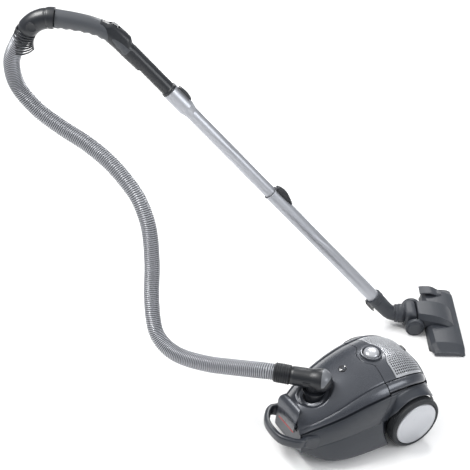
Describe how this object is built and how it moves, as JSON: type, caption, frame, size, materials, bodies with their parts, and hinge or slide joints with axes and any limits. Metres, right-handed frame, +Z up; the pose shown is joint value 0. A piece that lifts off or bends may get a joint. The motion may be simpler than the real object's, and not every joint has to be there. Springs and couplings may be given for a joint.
{
  "type": "cylinder vacuum cleaner",
  "caption": "Wheeled cylinder vacuum cleaner with hinged lid, ribbed hose, curved grip, telescopic wand and swivelling floor nozzle.",
  "frame": {"origin": "on the floor, under the middle of the footprint of canister, handle, wand and nozzle, leaving out the hose", "axes": "+Z up; the canister's front faces -X and the nozzle's head points mostly towards +X"},
  "size_m": [1.0386, 0.9026, 0.899],
  "materials": {
    "graphite_shell": "fine satin grain",
    "graphite_lid": "semi-gloss metallic paint look",
    "black_plastic": "satin",
    "silver_plastic": "satin silver paint",
    "window": "smoked gloss",
    "tyre_rubber": "matt",
    "hub_plastic": "satin",
    "steel": "turned",
    "paper_bag": "fleece",
    "filter": "fleece",
    "board": "coated board",
    "hose_grey": "ribbed, satin",
    "grip_grey": "satin",
    "handle_black": "satin",
    "tube_metal": "satin anodised",
    "nozzle_grey": "satin",
    "sole": "smooth"
  },
  "bodies": {
    "root": {"lower_housing": "graphite_shell", "side_panel_left": "graphite_shell", "side_panel_right": "graphite_shell", "fender_left": "graphite_shell", "fender_right": "graphite_shell", "wheel_arches": "black_plastic", "front_plate": "graphite_shell", "rear_wall": "graphite_shell", "rear_deck": "graphite_lid", "carry_handle": "graphite_shell", "partition": "black_plastic", "motor_housing": "hub_plastic", "motor_bearings": "steel", "motor_filter": "filter", "dust_bag": "paper_bag", "reel_spindle": "steel", "cable_outlet": "black_plastic", "circuit_board": "board", "exhaust_filter": "filter", "knob_seat": "black_plastic", "rear_axles": "steel", "hinge_pins": "steel", "hose": "hose_grey", "hose_sleeve": "handle_black", "kink_guard": "handle_black", "grip": "grip_grey", "grip_tube": "handle_black", "inner_tube": "tube_metal"},
    "lid": {"lid": "graphite_lid", "inlet_ring": "black_plastic", "indicator_window": "window", "connector": "black_plastic"},
    "latch": {"lid_latch": "graphite_lid"},
    "button": {"connector_button": "black_plastic"},
    "cuff": {"hose_cuff": "black_plastic"},
    "knob": {"power_knob": "silver_plastic"},
    "power_pedal": {"power_pedal": "graphite_lid"},
    "rewind_pedal": {"rewind_pedal": "graphite_lid"},
    "grille": {"exhaust_grille": "silver_plastic"},
    "wheel_left": {"tyre_left": "tyre_rubber", "hub_left": "hub_plastic", "wheel_cap_left": "silver_plastic"},
    "wheel_right": {"tyre_right": "tyre_rubber", "hub_right": "hub_plastic", "wheel_cap_right": "silver_plastic"},
    "caster": {"caster_fork": "black_plastic"},
    "caster_roller": {"caster_roller": "tyre_rubber"},
    "rotor": {"motor_rotor": "steel"},
    "reel": {"cord_reel": "black_plastic"},
    "slider": {"air_slider": "handle_black"},
    "bell_button": {"bell_button": "handle_black"},
    "wand": {"outer_tube": "tube_metal", "nozzle_elbow": "nozzle_grey"},
    "catch": {"tube_catch": "handle_black"},
    "clamp": {"nozzle_clamp": "handle_black"},
    "neck": {"neck": "nozzle_grey"},
    "head": {"nozzle_head": "nozzle_grey", "sole_plate": "sole"},
    "pedal": {"nozzle_pedal": "nozzle_grey"},
    "rollers": {"nozzle_wheels": "nozzle_grey"}
  },
  "joints": [
    {"name": "lid_hinge", "type": "hinge", "parent": "root", "child": "lid", "pos_m": [0.0072, -0.3008, 0.19799], "axis": [0, 1, 0], "range_deg": [0, 60], "deforming": ["hose"]},
    {"name": "latch_hinge", "type": "hinge", "parent": "lid", "child": "latch", "pos_m": [-0.2068, -0.3008, 0.139], "axis": [0, 1, 0], "range_deg": [0, 10], "stiffness_Nm_per_rad": 0.4},
    {"name": "connector_button_press", "type": "slide", "parent": "lid", "child": "button", "axis": [0.7071, 0.7071, 0], "range_m": [0, 0.002], "stiffness_N_per_m": 400},
    {"name": "cuff_swivel", "type": "hinge", "parent": "lid", "child": "cuff", "pos_m": [-0.1358, -0.3008, 0.193], "axis": [-0.7071, 0.7071, 0], "continuous": true},
    {"name": "knob_turn", "type": "hinge", "parent": "root", "child": "knob", "pos_m": [0.0202, -0.3008, 0.20218], "axis": [0, 0, 1], "range_deg": [-135, 135]},
    {"name": "power_pedal_press", "type": "hinge", "parent": "root", "child": "power_pedal", "pos_m": [0.0102, -0.3958, 0.17168], "axis": [0, 1, 0], "range_deg": [0, 4], "stiffness_Nm_per_rad": 8},
    {"name": "rewind_pedal_press", "type": "hinge", "parent": "root", "child": "rewind_pedal", "pos_m": [0.0102, -0.2058, 0.17168], "axis": [0, 1, 0], "range_deg": [0, 4], "stiffness_Nm_per_rad": 8},
    {"name": "grille_hinge", "type": "hinge", "parent": "root", "child": "grille", "pos_m": [0.0478, -0.3008, 0.20097], "axis": [0, -1, 0], "range_deg": [0, 70]},
    {"name": "wheel_left_spin", "type": "hinge", "parent": "root", "child": "wheel_left", "pos_m": [0.0642, -0.4208, 0.067], "axis": [0, 1, 0], "continuous": true},
    {"name": "wheel_right_spin", "type": "hinge", "parent": "root", "child": "wheel_right", "pos_m": [0.0642, -0.1808, 0.067], "axis": [0, 1, 0], "continuous": true},
    {"name": "caster_swivel", "type": "hinge", "parent": "root", "child": "caster", "pos_m": [-0.1448, -0.3008, 0.04], "axis": [0, 0, 1], "continuous": true},
    {"name": "caster_roll", "type": "hinge", "parent": "caster", "child": "caster_roller", "pos_m": [-0.1338, -0.3008, 0.016], "axis": [0, 1, 0], "continuous": true},
    {"name": "motor_spin", "type": "hinge", "parent": "root", "child": "rotor", "pos_m": [0.0012, -0.3348, 0.076], "axis": [1, 0, 0], "continuous": true},
    {"name": "reel_spin", "type": "hinge", "parent": "root", "child": "reel", "pos_m": [0.0632, -0.2488, 0.076], "axis": [0, 1, 0], "continuous": true},
    {"name": "air_slide", "type": "slide", "parent": "root", "child": "slider", "axis": [-0.7131, 0.4285, 0.5548], "range_m": [0, 0.016]},
    {"name": "bell_button_press", "type": "slide", "parent": "root", "child": "bell_button", "axis": [-0.6498, 0.3905, -0.6521], "range_m": [0, 0.002], "stiffness_N_per_m": 400},
    {"name": "telescope", "type": "slide", "parent": "root", "child": "wand", "axis": [-0.559, 0.3359, 0.7581], "range_m": [0, 0.25]},
    {"name": "tube_catch_slide", "type": "slide", "parent": "wand", "child": "catch", "axis": [0.559, -0.3359, -0.7581], "range_m": [0, 0.006], "stiffness_N_per_m": 300},
    {"name": "clamp_press", "type": "slide", "parent": "wand", "child": "clamp", "axis": [0.6498, -0.3905, 0.6521], "range_m": [0, 0.002], "stiffness_N_per_m": 400},
    {"name": "neck_swivel", "type": "hinge", "parent": "wand", "child": "neck", "pos_m": [0.3029, -0.0605, 0.037], "axis": [0.8572, -0.515, 0], "range_deg": [-90, 90]},
    {"name": "head_tilt", "type": "hinge", "parent": "neck", "child": "head", "pos_m": [0.33461, -0.07956, 0.025], "axis": [0.515, 0.8572, 0], "range_deg": [-20, 40]},
    {"name": "roller_spin", "type": "hinge", "parent": "neck", "child": "rollers", "pos_m": [0.33461, -0.07956, 0.025], "axis": [0.515, 0.8572, 0], "continuous": true},
    {"name": "mode_pedal_rock", "type": "hinge", "parent": "head", "child": "pedal", "pos_m": [0.45349, -0.03315, 0.03], "axis": [0.515, 0.8572, 0], "range_deg": [-6, 6]}
  ]
}
